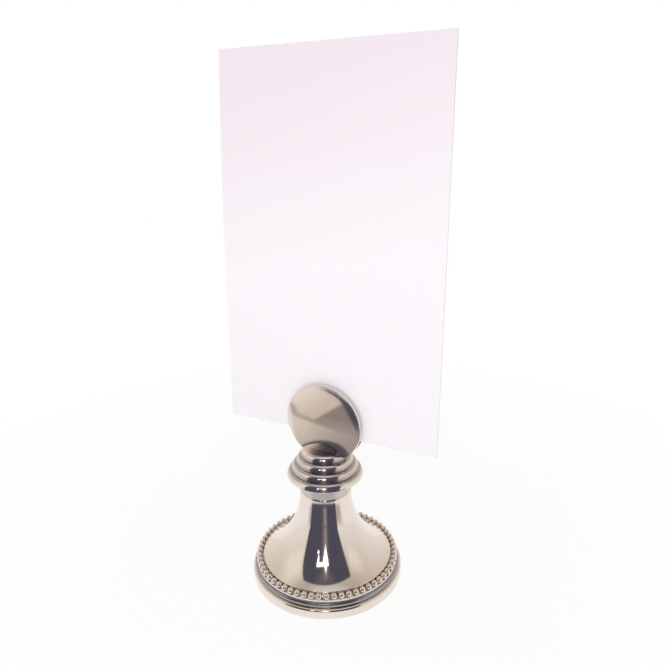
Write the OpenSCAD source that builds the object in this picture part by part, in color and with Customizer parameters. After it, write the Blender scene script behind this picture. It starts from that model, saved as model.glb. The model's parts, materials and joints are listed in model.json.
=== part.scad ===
// Place card holder: a weighted silver bell with a beaded border carries a stepped
// collar and a pair of upright discs, and a blank card stands in the slot between them.
// Millimetres, +Z up. The origin is the centre of the foot, on the table. The discs face -Y.

/* [Foot] */
// Radius of the foot band, where the holder stands on the table
foot_r = 18.7; // [16:0.1:20]
// Height of the foot band
foot_h = 2.4; // [2:0.05:2.8]
// Wall of the foot band
foot_wall = 1.6; // [1.4:0.1:1.9]
// Radius of the foot band's round shoulder
foot_shoulder_r = 0.6; // [0.4:0.05:0.8]
// Radius of the foot band's rounded lower edge
foot_round_r = 0.2; // [0.15:0.05:0.35]

/* [Rim moulding] */
// How far the rim stands in from the foot band
rim_inset = 0.55; // [0.3:0.05:0.7]
// Radius of the rim's round section
rim_section_r = 0.8; // [0.7:0.05:0.9]
// Depth of the flats where the rim is soldered, above and below
rim_flat = 0.08; // [0.06:0.01:0.12]

/* [Beaded border] */
// Radius of one bead
bead_r = 0.78; // [0.7:0.02:0.84]
// Least gap between neighbouring beads
bead_gap = 0.18; // [0.05:0.01:0.4]
// Distance of the bead centres inside the rim at its widest
bead_inset = 1.22; // [1.1:0.01:1.3]
// Angle of the first bead
bead_start = 2.7; // [0:0.1:5.9]
// Thickness of the strip that carries the beads
strip_t = 0.45; // [0.3:0.05:0.6]
// Height of the beads above the strip's underside
bead_lift = 0.03; // [0.01:0.01:0.1]
// Width of the strip beyond the beads on each side
strip_margin = 0.06; // [0.04:0.01:0.1]

/* [Bell] */
// Wall of the spun bell
bell_wall = 0.7; // [0.5:0.05:0.9]
// Thickness of the seat that the beaded strip lies on
seat_t = 0.26; // [0.2:0.02:0.4]
// Height of the upright step inside the beads, above the seat
bell_step_h = 1.15; // [1:0.05:1.5]
// Height of the concave sweep from the step to the neck
sweep_h = 17.4; // [15:0.1:19]
// Radius of the neck
neck_r = 6.25; // [5.5:0.05:7]
// Height of the plain neck above the sweep
neck_h = 0.7; // [0.4:0.1:2]
// Radius of the rounded lip at the top of the neck
lip_r = 0.45; // [0.15:0.05:0.45]

/* [Stepped collar] */
// Number of rings
ring_count = 4; // [3:1:4]
// Radius of the lowest, widest ring
ring_r = 9.2; // [9:0.05:9.6]
// Radius lost from one ring to the next
ring_step = 1.18; // [1:0.01:1.25]
// Height from one ring to the next
ring_pitch = 1.78; // [1.5:0.02:2]
// Height by which neighbouring rings run into each other
ring_merge = 0.05; // [0.02:0.01:0.1]
// Radius of the rounded lower edge of a ring
ring_edge_r = 0.35; // [0.2:0.05:0.5]
// Radius of the cove under the lowest ring
cove_r = 2; // [1.6:0.1:2.2]
// Depth of the plain stem under the rings, inside the neck's radius
stem_inset = 0.2; // [0.1:0.05:0.4]
// Height of the plain stem, from the neck to the cove under the lowest ring
stem_h = 1.7; // [1:0.1:3]
// Depth of the register that enters the neck
register_h = 2.2; // [1.5:0.1:3]

/* [Discs] */
// Radius of the discs
disc_r = 9.56; // [9.3:0.02:9.9]
// Thickness of a disc at its edge
disc_t = 1; // [0.8:0.05:1.4]
// Height of the disc centre above the collar
disc_rise = 6.95; // [6.5:0.05:7.5]
// Distance of the discs' middle from the collar's axis, as they were soldered
disc_shift = 0.6; // [-0.8:0.1:0.8]
// Depth by which the discs and the spacer are let into the collar
disc_sink = 0.6; // [0.3:0.1:0.9]
// Radius of the disc's rounded edges
disc_edge_r = 0.2; // [0.1:0.05:0.3]
// Height of the dome on a disc's outer face
disc_dome = 0.35; // [0.2:0.05:0.5]

/* [Card seat] */
// Width of the slot between the discs
slot_w = 1.4; // [1:0.05:1.6]
// Height of the card's seat above the collar
seat_rise = 3.7; // [3:0.1:4.5]
// Distance of the spacer's rim inside the edge of the discs
seat_inset = 0.45; // [0.3:0.05:0.8]
// Radius of the peg under the spacer
peg_r = 1.5; // [1.2:0.1:1.8]
// Depth of the peg's end below the top of the collar
peg_l = 7.5; // [5:0.5:8]

/* [Loading and closing plate] */
// Thickness of the baize under the holder
baize_t = 0.6; // [0.4:0.1:0.8]
// Thickness of the closing plate
plate_t = 0.8; // [0.6:0.1:1]
// Space between the loading and the collar's register
load_headroom = 0.2; // [0.1:0.1:1]

/* [Place card] */
// Width of the card
card_w = 53.98; // [40:0.01:70]
// Height of the card
card_h = 85.6; // [60:0.1:100]
// Thickness of the card
card_t = 0.4; // [0.25:0.05:0.5]
// Distance of the card's middle from the middle of the discs
card_shift = 0.45; // [-3:0.05:3]
// Angle by which the card stands askew in the slot, its top towards -X when positive
card_tilt = 0.78; // [-1.5:0.02:1.5]

/* [Fits] */
// Clearance between parts that are soldered, glued or poured
solder_gap = 0.05; // [0.03:0.01:0.08]
// Clearance of the card from its seat and from the discs
card_gap = 0.05; // [0.03:0.01:0.08]

/* [Hidden] */
$fn = 96;
bead_fn = 32;
// The dome is a small part of a large circle, so it takes a finer one
dome_fn = 720;
// Overrun of every cut
over = 0.5;

// Levels, from the table upwards
load_z = baize_t + plate_t;
rim_z = foot_h + rim_section_r - rim_flat;
rim_top_z = rim_z + rim_section_r - rim_flat;
seat_top_z = rim_top_z + seat_t;
step_top_z = seat_top_z + bell_step_h;
sweep_top_z = step_top_z + sweep_h;
neck_top_z = sweep_top_z + neck_h;

// The rim's section, and the strip that lies over it. The beads cut only the strip's top face
rim_r = foot_r - rim_inset;
rim_centre_r = rim_r - rim_section_r;
bead_ring_r = rim_r - bead_inset;
bead_count = floor(2 * PI * bead_ring_r / (2 * bead_r + bead_gap));
strip_in_r = bead_ring_r - bead_r - strip_margin;
strip_out_r = bead_ring_r + bead_r + strip_margin;
bead_z = seat_top_z + bead_lift + bead_r;

// The sweep is an arc that is upright at the neck and ends on the step
step_r = strip_in_r - solder_gap;
sweep_in = step_r - neck_r;
sweep_r = (pow(sweep_in, 2) + pow(sweep_h, 2)) / (2 * sweep_in);
sweep_centre_r = neck_r + sweep_r;
bell_in_r = step_r - bell_wall;
bell_bore_r = neck_r - bell_wall;

// The collar's stem, the cove under its rings and the quarter round above a ring's lower edge
stem_r = neck_r - stem_inset;
ring_h = ring_pitch + ring_merge;
ring_crown_r = ring_h - ring_edge_r;
cove_z = neck_top_z + stem_h;
ring_base_z = cove_z + cove_r;
collar_top_z = ring_base_z + (ring_count - 1) * ring_pitch + ring_h;
register_r = bell_bore_r - solder_gap;
register_z = neck_top_z - register_h;
peg_bore_r = peg_r + solder_gap;

// The discs, the sphere that domes them and how far it stands out over the collar
disc_z = collar_top_z + disc_rise;
disc_low_z = collar_top_z - disc_sink;
disc_flat_r = disc_r - disc_edge_r;
dome_r = (pow(disc_flat_r, 2) + pow(disc_dome, 2)) / (2 * disc_dome);
dome_foot = disc_dome - dome_r + sqrt(pow(dome_r, 2) - pow(disc_rise, 2));
channel_half_w = slot_w / 2 + disc_t + dome_foot + solder_gap;

// The card stands on one end of the spacer and leans back against the top of the rear disc
seat_z = collar_top_z + seat_rise;
seat_r = disc_r - seat_inset;
seat_half_w = sqrt(pow(seat_r, 2) - pow(disc_rise - seat_rise, 2));
tilt_lift = (seat_half_w + abs(card_shift)) * sin(abs(card_tilt));
slot_depth = disc_z + disc_r - seat_z;
card_lean = asin((slot_w - 2 * card_gap - card_t) / slot_depth);
card_y = card_gap + card_t / 2 * cos(card_lean) - slot_w / 2;
card_z = seat_z + card_gap + tilt_lift + card_t / 2 * sin(card_lean);

// The loading under the seat, and the plate that closes the foot
plate_r = foot_r - foot_wall - solder_gap;
load_r = rim_centre_r - rim_section_r - solder_gap;
load_top_z = register_z - load_headroom;

silver_colour = [0.85, 0.8, 0.74];
load_colour = [0.24, 0.2, 0.17];
baize_colour = [0.1, 0.27, 0.16];
card_colour = [0.98, 0.96, 0.98];

// The band that the holder stands on, with a round shoulder and a rounded lower edge
module foot_band() {
    in_r = foot_r - foot_wall;
    shoulder_r = foot_r - foot_shoulder_r;
    edge_r = foot_r - foot_round_r;
    color(silver_colour) rotate_extrude() union() {
        translate([in_r, 0]) square([edge_r - in_r, foot_h - foot_shoulder_r]);
        translate([in_r, foot_round_r]) square([foot_wall, foot_h - foot_shoulder_r - foot_round_r]);
        translate([in_r, foot_round_r]) square([shoulder_r - in_r, foot_h - foot_round_r]);
        translate([edge_r, foot_round_r]) circle(foot_round_r);
        translate([shoulder_r, foot_h - foot_shoulder_r]) circle(foot_shoulder_r);
    }
}

// The bold round moulding, flat above and below for its joints
module rim_moulding() {
    color(silver_colour) rotate_extrude() intersection() {
        translate([rim_centre_r, rim_z]) circle(rim_section_r);
        translate([rim_centre_r - rim_section_r - over, foot_h])
            square([2 * (rim_section_r + over), rim_top_z - foot_h]);
    }
}

// A row of beads on a flat strip
module bead_border() {
    color(silver_colour) union() {
        rotate_extrude() translate([strip_in_r, seat_top_z]) square([strip_out_r - strip_in_r, strip_t]);
        for (i = [0 : bead_count - 1])
            rotate([0, 0, bead_start + i * 360 / bead_count])
                translate([bead_ring_r, 0, bead_z]) sphere(bead_r, $fn = bead_fn);
    }
}

// The bell's section: the seat, the step and sweep, and the neck with its round lip
module bell_section() {
    difference() {
        union() {
            translate([0, rim_top_z]) square([strip_out_r, seat_t]);
            difference() {
                translate([0, rim_top_z]) square([step_r, sweep_top_z - rim_top_z]);
                translate([sweep_centre_r, sweep_top_z]) circle(sweep_r);
            }
            translate([0, rim_top_z]) square([neck_r, neck_top_z - lip_r - rim_top_z]);
            translate([0, rim_top_z]) square([neck_r - lip_r, neck_top_z - rim_top_z]);
            translate([neck_r - lip_r, neck_top_z - lip_r]) circle(lip_r);
        }
        bell_hollow_section();
    }
}

// What is open inside the bell: the bore of its neck, and the space one wall in from the sweep
module bell_hollow_section() {
    translate([0, rim_top_z - over]) square([bell_bore_r, neck_top_z - rim_top_z + 2 * over]);
    difference() {
        translate([0, rim_top_z - over]) square([bell_in_r, sweep_top_z - rim_top_z + over]);
        translate([sweep_centre_r, sweep_top_z]) circle(sweep_r + bell_wall);
    }
}

// The spun bell
module bell_body() {
    color(silver_colour) rotate_extrude() bell_section();
}

// The turned collar: a register, a plain stem, a cove and the rings, bored for the peg
// and with a shallow channel across its top for the discs
module stepped_collar() {
    color(silver_colour) difference() {
        union() {
            translate([0, 0, register_z]) cylinder(h = register_h + over, r = register_r);
            translate([0, 0, neck_top_z]) cylinder(h = stem_h + over, r = stem_r);
            rotate_extrude() difference() {
                translate([0, cove_z]) square([stem_r + cove_r, cove_r + over]);
                translate([stem_r + cove_r, cove_z]) circle(cove_r);
            }
            for (i = [0 : ring_count - 1]) collar_ring(i);
        }
        translate([0, 0, collar_top_z - peg_l - solder_gap])
            cylinder(h = peg_l + solder_gap + over, r = peg_bore_r);
        translate([-ring_r, -channel_half_w, disc_low_z - solder_gap])
            cube([2 * ring_r, 2 * channel_half_w, disc_sink + solder_gap + over]);
    }
}

// One ring of the collar, counted from the lowest: a rounded lower edge and a quarter round over it
module collar_ring(i) {
    outer_r = ring_r - i * ring_step;
    low_z = ring_base_z + i * ring_pitch;
    crown_z = low_z + ring_edge_r;
    rotate_extrude() union() {
        translate([0, low_z]) square([outer_r - ring_edge_r, 2 * ring_edge_r]);
        translate([outer_r - ring_edge_r, crown_z]) circle(ring_edge_r);
        translate([0, low_z]) square([outer_r - ring_crown_r, ring_h]);
        intersection() {
            translate([outer_r - ring_crown_r, crown_z]) circle(ring_crown_r);
            translate([0, crown_z]) square([outer_r, ring_h]);
        }
    }
}

// A disc with rounded edges and a domed outer face, cut straight where it enters the collar.
// The flat inner face lies at y = 0 and the dome points along -Y.
module disc() {
    difference() {
        translate([0, 0, disc_z]) rotate([90, 0, 0]) rotate_extrude() union() {
            square([disc_flat_r, disc_t]);
            translate([0, disc_edge_r]) square([disc_r, disc_t - 2 * disc_edge_r]);
            translate([disc_flat_r, disc_edge_r]) circle(disc_edge_r);
            translate([disc_flat_r, disc_t - disc_edge_r]) circle(disc_edge_r);
            intersection() {
                translate([0, disc_t + disc_dome - dome_r]) circle(dome_r, $fn = dome_fn);
                square([disc_flat_r, disc_t + disc_dome]);
            }
        }
        translate([-disc_r, -disc_t - disc_dome - over, disc_low_z - disc_r])
            cube([2 * disc_r, disc_t + disc_dome + 2 * over, disc_r]);
    }
}

module front_disc() {
    color(silver_colour) translate([disc_shift, -slot_w / 2, 0]) disc();
}

module rear_disc() {
    color(silver_colour) translate([disc_shift, slot_w / 2, 0]) rotate([0, 0, 180]) disc();
}

// The spacer between the discs, whose top edge the card stands on, and its peg
module card_seat() {
    color(silver_colour) union() {
        translate([disc_shift, 0, 0]) intersection() {
            translate([0, slot_w / 2, disc_z]) rotate([90, 0, 0]) cylinder(h = slot_w, r = seat_r);
            translate([-disc_r, -slot_w, disc_low_z]) cube([2 * disc_r, 2 * slot_w, seat_rise + disc_sink]);
        }
        translate([0, 0, collar_top_z - peg_l]) cylinder(h = peg_l - disc_sink, r = peg_r);
    }
}

// The loading that gives the holder its weight, poured against the inside of the bell
module load_fill() {
    color(load_colour) rotate_extrude() intersection() {
        translate([0, load_z]) square([load_r, load_top_z - load_z]);
        union() {
            square([load_r, rim_top_z - solder_gap]);
            square([bell_bore_r - solder_gap, neck_top_z]);
            difference() {
                square([bell_in_r - solder_gap, sweep_top_z]);
                translate([sweep_centre_r, sweep_top_z]) circle(sweep_r + bell_wall + solder_gap);
            }
        }
    }
}

// The plate that closes the foot
module base_plate() {
    color(silver_colour) translate([0, 0, baize_t]) cylinder(h = plate_t, r = plate_r);
}

// The baize glued under the plate, flush with the foot
module baize_pad() {
    color(baize_colour) cylinder(h = baize_t, r = plate_r);
}

// The blank card
module place_card() {
    color(card_colour) translate([disc_shift + card_shift, card_y, card_z])
        rotate([-card_lean, -card_tilt, 0])
            translate([-card_w / 2, -card_t / 2, 0]) cube([card_w, card_t, card_h]);
}

foot_band();
rim_moulding();
bead_border();
bell_body();
stepped_collar();
front_disc();
rear_disc();
card_seat();
load_fill();
base_plate();
baize_pad();
place_card();
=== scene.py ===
"""A silver place card holder with a blank card, dressed and lit for its picture.

Metres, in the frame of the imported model: +Z up, the table at zero, the discs facing -Y.
"""
import json
import math
import random

import bmesh
import bpy
from mathutils import Matrix, Vector


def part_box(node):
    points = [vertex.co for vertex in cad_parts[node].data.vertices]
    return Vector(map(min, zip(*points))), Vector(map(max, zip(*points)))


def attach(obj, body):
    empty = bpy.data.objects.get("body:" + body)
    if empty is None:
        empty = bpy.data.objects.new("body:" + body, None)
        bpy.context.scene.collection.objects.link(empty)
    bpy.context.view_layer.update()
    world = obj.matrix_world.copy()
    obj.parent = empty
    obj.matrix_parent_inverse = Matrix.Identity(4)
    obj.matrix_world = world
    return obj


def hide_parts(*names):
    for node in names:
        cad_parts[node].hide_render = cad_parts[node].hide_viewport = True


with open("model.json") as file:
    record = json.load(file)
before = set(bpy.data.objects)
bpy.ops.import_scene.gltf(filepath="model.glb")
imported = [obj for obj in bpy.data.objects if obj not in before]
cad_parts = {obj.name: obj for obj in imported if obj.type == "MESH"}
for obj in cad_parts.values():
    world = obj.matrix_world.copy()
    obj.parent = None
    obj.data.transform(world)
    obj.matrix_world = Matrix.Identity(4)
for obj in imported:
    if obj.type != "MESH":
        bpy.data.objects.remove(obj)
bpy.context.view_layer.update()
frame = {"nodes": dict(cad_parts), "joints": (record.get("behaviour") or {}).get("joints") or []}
MM = 0.001

# How finely round shapes are cut
TURNS = 320
ARC_STEP_DEG = 4.0
SMALL_ARC_STEPS = 6
DOME_STEPS = 24
SHARP_CORNER_DEG = 32.0
SAME_POINT = 0.0001 * MM
BEAD_ROUNDS = 3
CARD_CELLS_ACROSS, CARD_CELLS_UP = 30, 48
SCREEN_CELLS = 48

# Camera, as the photograph's view was measured
CAMERA_PLACE = Vector((66.505, -118.817, 110.711)) * MM
CAMERA_TURN_DEG = 28.216
CAMERA_PITCH_DEG = 19.287
CAMERA_ROLL_DEG = -1.102
CAMERA_LENS = 34.846
CAMERA_SENSOR = 36.0
CAMERA_CLIP = 1 * MM


def low(node):
    """The lowest corner of a CAD node."""
    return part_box(node)[0]


def high(node):
    """The highest corner of a CAD node."""
    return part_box(node)[1]


# Foot band and rim moulding
FOOT_R = high("foot_band").x
FOOT_TOP = high("foot_band").z
FOOT_WALL = 1.6 * MM
FOOT_SHOULDER = 0.6 * MM
FOOT_EDGE = 0.2 * MM
RIM_R = high("rim_moulding").x
RIM_TOP = high("rim_moulding").z
RIM_SECTION = 0.8 * MM
RIM_Z = (FOOT_TOP + RIM_TOP) / 2

# Beaded border
SEAT_TOP = low("bead_border").z
STRIP_OUT_R = high("bead_border").x
STRIP_T = 0.45 * MM
STRIP_MARGIN = 0.06 * MM
BEAD_LIFT = 0.03 * MM
BEAD_R = (high("bead_border").z - SEAT_TOP - BEAD_LIFT) / 2
BEAD_RING_R = STRIP_OUT_R - STRIP_MARGIN - BEAD_R
STRIP_IN_R = BEAD_RING_R - BEAD_R - STRIP_MARGIN
BEAD_GAP = 0.18 * MM
BEAD_COUNT = math.floor(2 * math.pi * BEAD_RING_R / (2 * BEAD_R + BEAD_GAP))
BEAD_START_DEG = 2.7
BEAD_SEED = 4
BEAD_SIZE_SPREAD_SHARE = 0.012
BEAD_HEIGHT_SPREAD = 0.02 * MM
BEAD_Z = SEAT_TOP + BEAD_LIFT + BEAD_R

# Bell
SOLDER_GAP = 0.05 * MM
NECK_R = 6.25 * MM
NECK_TOP = high("bell_body").z
SWEEP_TOP = NECK_TOP - 0.7 * MM
BELL_WALL = 0.7 * MM
LIP_R = 0.45 * MM
STEP_R = STRIP_IN_R - SOLDER_GAP
STEP_TOP = SEAT_TOP + 1.15 * MM
STEP_ROUND = 0.3 * MM
SWEEP_R = ((STEP_R - NECK_R) ** 2 + (SWEEP_TOP - STEP_TOP) ** 2) / (2 * (STEP_R - NECK_R))
SWEEP_CENTRE = (NECK_R + SWEEP_R, SWEEP_TOP)

# Collar
REGISTER_LOW = low("stepped_collar").z
REGISTER_R = NECK_R - BELL_WALL - SOLDER_GAP
STEM_R = NECK_R - 0.2 * MM
COVE_Z = NECK_TOP + 1.7 * MM
COVE_R = 2.0 * MM
RING_COUNT = 4
RING_R = high("stepped_collar").x
RING_STEP = 1.18 * MM
RING_PITCH = 1.78 * MM
RING_MERGE = 0.05 * MM
RING_EDGE = 0.35 * MM
RING_CROWN = RING_PITCH + RING_MERGE - RING_EDGE
RING_BASE = COVE_Z + COVE_R
COLLAR_TOP = RING_BASE + RING_COUNT * RING_PITCH + RING_MERGE
PEG_BORE_R = 1.55 * MM
PEG_BORE_DEPTH = 7.55 * MM

# Discs
DISC_X = (low("front_disc").x + high("front_disc").x) / 2
DISC_R = high("front_disc").x - DISC_X
DISC_T = 1.0 * MM
DISC_EDGE = 0.2 * MM
DISC_DOME = high("front_disc").y - low("front_disc").y - DISC_T
DISC_Z = high("front_disc").z - DISC_R
DISC_LOW = low("front_disc").z
SLOT_HALF = -high("front_disc").y

# Card
CARD_W = 53.98 * MM
CARD_H = 85.6 * MM
CARD_T = 0.4 * MM
CARD_TILT = math.radians(0.78)
CARD_BOW = 0.8 * MM
LIFT_AXIS = Vector(frame["joints"][0]["axis"])


# Fades


def ramp(distance, feather):
    """Rises smoothly from 0 to 1 over the feather."""
    if feather <= 0:
        return 1.0
    t = min(1.0, max(0.0, distance / feather))
    return t * t * (3 - 2 * t)


def blended(first, second, share):
    """A tone between two, by how much of the second it has."""
    return tuple(a + (b - a) * share for a, b in zip(first, second))


# Sections of turned pieces


def arc(centre, radius, start, end):
    """Points along an arc of a section, from one angle to another, in degrees."""
    steps = max(SMALL_ARC_STEPS, math.ceil(abs(end - start) / ARC_STEP_DEG))
    angles = [math.radians(start + (end - start) * i / steps) for i in range(steps + 1)]
    return [(centre[0] + radius * math.cos(a), centre[1] + radius * math.sin(a)) for a in angles]


def foot_section():
    """The upright band, its lower edge and its shoulder rounded."""
    inner = FOOT_R - FOOT_WALL
    lower = arc((FOOT_R - FOOT_EDGE, FOOT_EDGE), FOOT_EDGE, -90, 0)
    shoulder = arc((FOOT_R - FOOT_SHOULDER, FOOT_TOP - FOOT_SHOULDER), FOOT_SHOULDER, 0, 90)
    return [(inner, 0), *lower, *shoulder, (inner, FOOT_TOP)]


def rim_section():
    """The round moulding, cut flat below and above."""
    centre = (RIM_R - RIM_SECTION, RIM_Z)
    flat = math.degrees(math.asin((RIM_TOP - RIM_Z) / RIM_SECTION))
    return [*arc(centre, RIM_SECTION, -flat, flat), *arc(centre, RIM_SECTION, 180 - flat, 180 + flat)]


def strip_section():
    """The flat strip under the beads."""
    top = SEAT_TOP + STRIP_T
    return [(STRIP_IN_R, SEAT_TOP), (STRIP_OUT_R, SEAT_TOP), (STRIP_OUT_R, top), (STRIP_IN_R, top)]


def sweep_angle(radius, offset):
    """Angle on the sweep's circle at a distance from the axis, in degrees."""
    return 180 + math.degrees(math.acos((SWEEP_CENTRE[0] - radius) / (SWEEP_R + offset)))


def bell_section():
    """The bell's wall, from the rounded step inside the beads up the sweep to the neck's lip."""
    inner = STEP_R - BELL_WALL
    bore = NECK_R - BELL_WALL
    step_angle = sweep_angle(STEP_R, 0)
    rounding = arc((STEP_R - STEP_ROUND, STEP_TOP - STEP_ROUND / 2), STEP_ROUND, 0, step_angle - 180)
    start = sweep_angle(rounding[-1][0], 0)
    outside = [(STRIP_OUT_R, RIM_TOP), (STRIP_OUT_R, SEAT_TOP), (STEP_R, SEAT_TOP), *rounding]
    outside += arc(SWEEP_CENTRE, SWEEP_R, start, 180)[1:]
    outside += arc((NECK_R - LIP_R, NECK_TOP - LIP_R), LIP_R, 0, 90)
    inside = [(bore, NECK_TOP), *arc(SWEEP_CENTRE, SWEEP_R + BELL_WALL, 180, sweep_angle(inner, BELL_WALL))]
    return outside + inside + [(inner, RIM_TOP)]


def ring_groove():
    """Angles, in degrees, at which a ring's quarter round ends and the next ring's lower edge begins."""
    across, up = RING_CROWN - RING_STEP - RING_EDGE, RING_PITCH
    distance = math.hypot(across, up)
    along = (RING_CROWN ** 2 - RING_EDGE ** 2 + distance ** 2) / (2 * distance)
    beside = math.sqrt(RING_CROWN ** 2 - along ** 2)
    r = (across * along + up * beside) / distance
    z = (up * along - across * beside) / distance
    return math.degrees(math.atan2(z, r)), math.degrees(math.atan2(z - up, r - across))


def collar_section():
    """The collar, from the register in the neck up the stem, the cove and the rings to the peg's bore."""
    points = [(0, REGISTER_LOW), (REGISTER_R, REGISTER_LOW), (REGISTER_R, NECK_TOP), (STEM_R, NECK_TOP)]
    points += arc((STEM_R + COVE_R, COVE_Z), COVE_R, 180, 90)
    crown_end, edge_start = ring_groove()
    for i in range(RING_COUNT):
        outer, low_z = RING_R - i * RING_STEP, RING_BASE + i * RING_PITCH
        start = edge_start if i > 0 else -90
        end = crown_end if i < RING_COUNT - 1 else 90
        points += arc((outer - RING_EDGE, low_z + RING_EDGE), RING_EDGE, start, 0)
        points += arc((outer - RING_CROWN, low_z + RING_EDGE), RING_CROWN, 0, end)[1:]
    bore_low = COLLAR_TOP - PEG_BORE_DEPTH
    return points + [(PEG_BORE_R, COLLAR_TOP), (PEG_BORE_R, bore_low), (0, bore_low)]


def disc_section():
    """A disc lying flat: the face in the slot, the two rounded edges and the domed outer face."""
    flat_r = DISC_R - DISC_EDGE
    dome_r = (flat_r ** 2 + DISC_DOME ** 2) / (2 * DISC_DOME)
    reach = math.degrees(math.asin(flat_r / dome_r))
    dome = []
    for i in range(1, DOME_STEPS + 1):
        angle = math.radians(reach * (1 - i / DOME_STEPS))
        dome.append((dome_r * math.sin(angle), DISC_T + DISC_DOME - dome_r * (1 - math.cos(angle))))
    inner_edge = arc((flat_r, DISC_EDGE), DISC_EDGE, -90, 0)
    outer_edge = arc((flat_r, DISC_T - DISC_EDGE), DISC_EDGE, 0, 90)
    return [(0, 0), *inner_edge, *outer_edge, *dome]


# Meshes


def put_in_scene(name, data):
    """An object in the scene that shows the data."""
    made = bpy.data.objects.new(name, data)
    bpy.context.scene.collection.objects.link(made)
    return made


def new_object(name, mesh_maker):
    """An object in the scene, made of what the mesh maker holds."""
    mesh = bpy.data.meshes.new(name)
    mesh_maker.normal_update()
    bmesh.ops.recalc_face_normals(mesh_maker, faces=mesh_maker.faces)
    mesh_maker.to_mesh(mesh)
    mesh_maker.free()
    return put_in_scene(name, mesh)


def store(piece, name, values, kind="FLOAT", field="value"):
    """Stores a value for each point of a mesh, under a name that a material can ask for."""
    piece.data.attributes.new(name, kind, "POINT").data.foreach_set(field, values)


def corner(before, here, after):
    """The change of direction at a point of a section, in degrees."""
    a = Vector((here[0] - before[0], here[1] - before[1]))
    b = Vector((after[0] - here[0], after[1] - here[1]))
    return math.degrees(a.angle(b, 0))


def lathe(section):
    """Turns a closed section about the Z axis into a closed shell, with sharp corners kept sharp."""
    maker = bmesh.new()
    clean = [p for i, p in enumerate(section) if math.dist(p, section[i - 1]) > SAME_POINT]
    count = len(clean)
    rings = []
    for r, z in clean:
        if r == 0:
            rings.append([maker.verts.new((0, 0, z))] * TURNS)
            continue
        angles = [2 * math.pi * k / TURNS for k in range(TURNS)]
        rings.append([maker.verts.new((r * math.cos(a), r * math.sin(a), z)) for a in angles])
    for i in range(count):
        lower, upper = rings[i], rings[(i + 1) % count]
        if lower[0] is lower[1] and upper[0] is upper[1]:
            continue
        for k in range(TURNS):
            n = (k + 1) % TURNS
            around = [lower[k], lower[n], upper[n], upper[k]]
            face = maker.faces.new(list(dict.fromkeys(around)))
            face.smooth = True
    for i in range(count):
        bend = corner(clean[i - 1], clean[i], clean[(i + 1) % count])
        if bend > SHARP_CORNER_DEG and rings[i][0] is not rings[i][1]:
            for k in range(TURNS):
                edge = maker.edges.get((rings[i][k], rings[i][(k + 1) % TURNS]))
                edge.smooth = False
    return maker


def add_beads(maker):
    """The row of beads. Each is a little off in size and height, as stamped beads are."""
    rng = random.Random(BEAD_SEED)
    for i in range(BEAD_COUNT):
        angle = math.radians(BEAD_START_DEG + 360 * i / BEAD_COUNT)
        place = Vector((BEAD_RING_R * math.cos(angle), BEAD_RING_R * math.sin(angle), BEAD_Z))
        place.z += rng.uniform(-BEAD_HEIGHT_SPREAD, 0)
        size = BEAD_R * (1 - rng.uniform(0, BEAD_SIZE_SPREAD_SHARE))
        there = Matrix.Translation(place)
        made = bmesh.ops.create_icosphere(maker, subdivisions=BEAD_ROUNDS, radius=size, matrix=there)
        for vert in made["verts"]:
            for face in vert.link_faces:
                face.smooth = True


def make_disc(name, turn_deg):
    """A disc, turned about its own axis, stood upright and cut straight where it is let into the collar."""
    maker = lathe(disc_section())
    stand = Matrix.Translation((0, -SLOT_HALF, DISC_Z)) @ Matrix.Rotation(math.radians(90), 4, "X")
    turn = Matrix.Rotation(math.radians(turn_deg), 4, "Z")
    maker.transform(Matrix.Translation((DISC_X, 0, 0)) @ turn @ stand)
    everything = [*maker.verts, *maker.edges, *maker.faces]
    cut = bmesh.ops.bisect_plane(
        maker, geom=everything, plane_co=(0, 0, DISC_LOW), plane_no=(0, 0, -1), clear_outer=True
    )
    edges = [e for e in cut["geom_cut"] if isinstance(e, bmesh.types.BMEdge)]
    bmesh.ops.edgeloop_fill(maker, edges=edges)
    for edge in edges:
        edge.smooth = False
    return new_object(name, maker)


def card_point(u, v, side):
    """A point of the card: u across from -0.5 to 0.5, v up from 0 to 1, side -1 in front and 1 behind."""
    lowest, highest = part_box("place_card")
    half_w = CARD_W / 2
    out = Vector((0, LIFT_AXIS.z, -LIFT_AXIS.y))
    across = Vector((math.cos(CARD_TILT), 0, 0)) + LIFT_AXIS * math.sin(CARD_TILT)
    upward = Vector((-math.sin(CARD_TILT), 0, 0)) + LIFT_AXIS * math.cos(CARD_TILT)
    # foot is the middle of the bottom edge, half a width from the corners that touch the box
    sunk = half_w * math.sin(CARD_TILT)
    foot = Vector((highest.x - half_w * math.cos(CARD_TILT), lowest.y, lowest.z)) + LIFT_AXIS * sunk
    foot += Vector((0, LIFT_AXIS.z, LIFT_AXIS.y)) * (CARD_T / 2)
    bow = -CARD_BOW * math.sin(math.pi * v) * (0.5 - u)
    return foot + across * (u * CARD_W) + upward * (v * CARD_H) + out * (side * CARD_T / 2 + bow)


def make_card():
    """The card: a thin closed sheet that stands a little bowed towards the front at its left edge."""
    across, up = CARD_CELLS_ACROSS, CARD_CELLS_UP
    maker = bmesh.new()
    sides = {}
    for side in (-1, 1):
        for i in range(across + 1):
            for j in range(up + 1):
                sides[side, i, j] = maker.verts.new(card_point(i / across - 0.5, j / up, side))
    for i in range(across):
        for j in range(up):
            for side in (-1, 1):
                corners = [(i, j), (i + 1, j), (i + 1, j + 1), (i, j + 1)]
                maker.faces.new([sides[side, a, b] for a, b in corners]).smooth = True
    border = [(i, 0) for i in range(across)] + [(across, j) for j in range(up)]
    border += [(i, up) for i in range(across, 0, -1)] + [(0, j) for j in range(up, 0, -1)]
    for k, (i, j) in enumerate(border):
        a, b = border[(k + 1) % len(border)]
        maker.faces.new([sides[-1, i, j], sides[-1, a, b], sides[1, a, b], sides[1, i, j]])
        for side in (-1, 1):
            maker.edges.get((sides[side, i, j], sides[side, a, b])).smooth = False
    return new_object("card_sheet", maker)


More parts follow.
